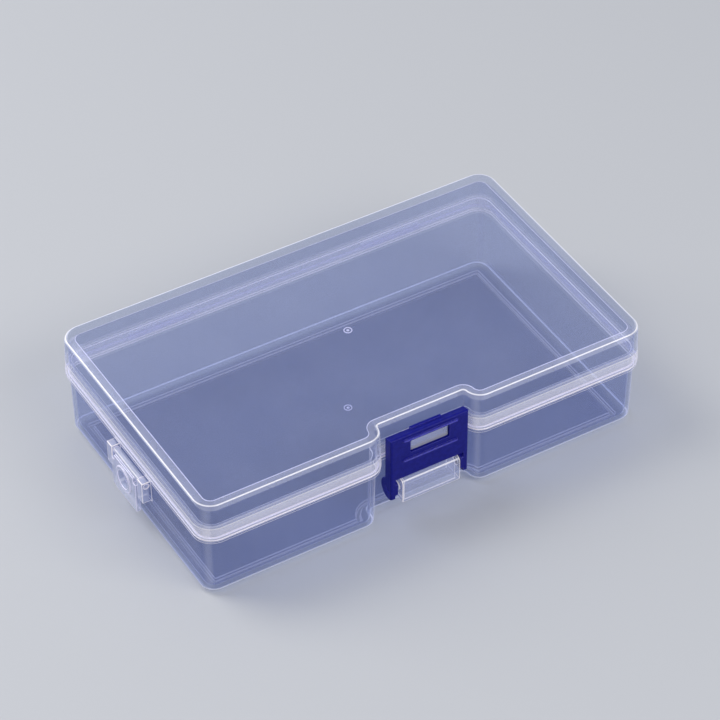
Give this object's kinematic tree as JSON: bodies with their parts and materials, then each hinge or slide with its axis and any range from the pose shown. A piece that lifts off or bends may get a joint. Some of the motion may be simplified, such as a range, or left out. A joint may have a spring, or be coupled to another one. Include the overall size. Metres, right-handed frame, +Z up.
{
  "type": "organizer box",
  "caption": "Shallow hinged organizer box in clear plastic with a swinging front latch in a recess and a folding hang tab on one end.",
  "frame": {"origin": "centre of the box's plan outline, on the surface that the foot ring stands on", "axes": "+X right along the length with the latch facing the viewer, +Y back to the hinge, +Z up"},
  "size_m": [0.1432, 0.0855, 0.0344],
  "materials": {
    "clear_tray": "translucent milky polypropylene, polished, bright edges",
    "clear_lid": "translucent milky polypropylene, polished, bright edges",
    "blue_latch": "deep blue moulded polypropylene, satin gloss",
    "clear_tab": "translucent milky polypropylene, polished",
    "clear_web": "thin translucent polypropylene, stress-whitened where it bends"
  },
  "bodies": {
    "base": {"base_tray": "clear_tray", "hinge_web_left": "clear_web", "hinge_web_right": "clear_web"},
    "lid": {"lid": "clear_lid"},
    "latch": {"latch": "blue_latch"},
    "hang_tab": {"hang_tab": "clear_tab"}
  },
  "joints": [
    {"name": "lid_hinge", "type": "hinge", "parent": "base", "child": "lid", "pos_m": [0, 0.043, 0.022], "axis": [-1, 0, 0], "range_deg": [0, 180], "deforming": ["hinge_web_left", "hinge_web_right"]},
    {"name": "latch_pivot", "type": "hinge", "parent": "base", "child": "latch", "pos_m": [0, -0.0397, 0.0124], "axis": [1, 0, 0], "range_deg": [0, 110]},
    {"name": "hang_tab_pivot", "type": "hinge", "parent": "base", "child": "hang_tab", "pos_m": [-0.0706, 0, 0.0179], "axis": [0, 1, 0], "range_deg": [0, 90]}
  ]
}
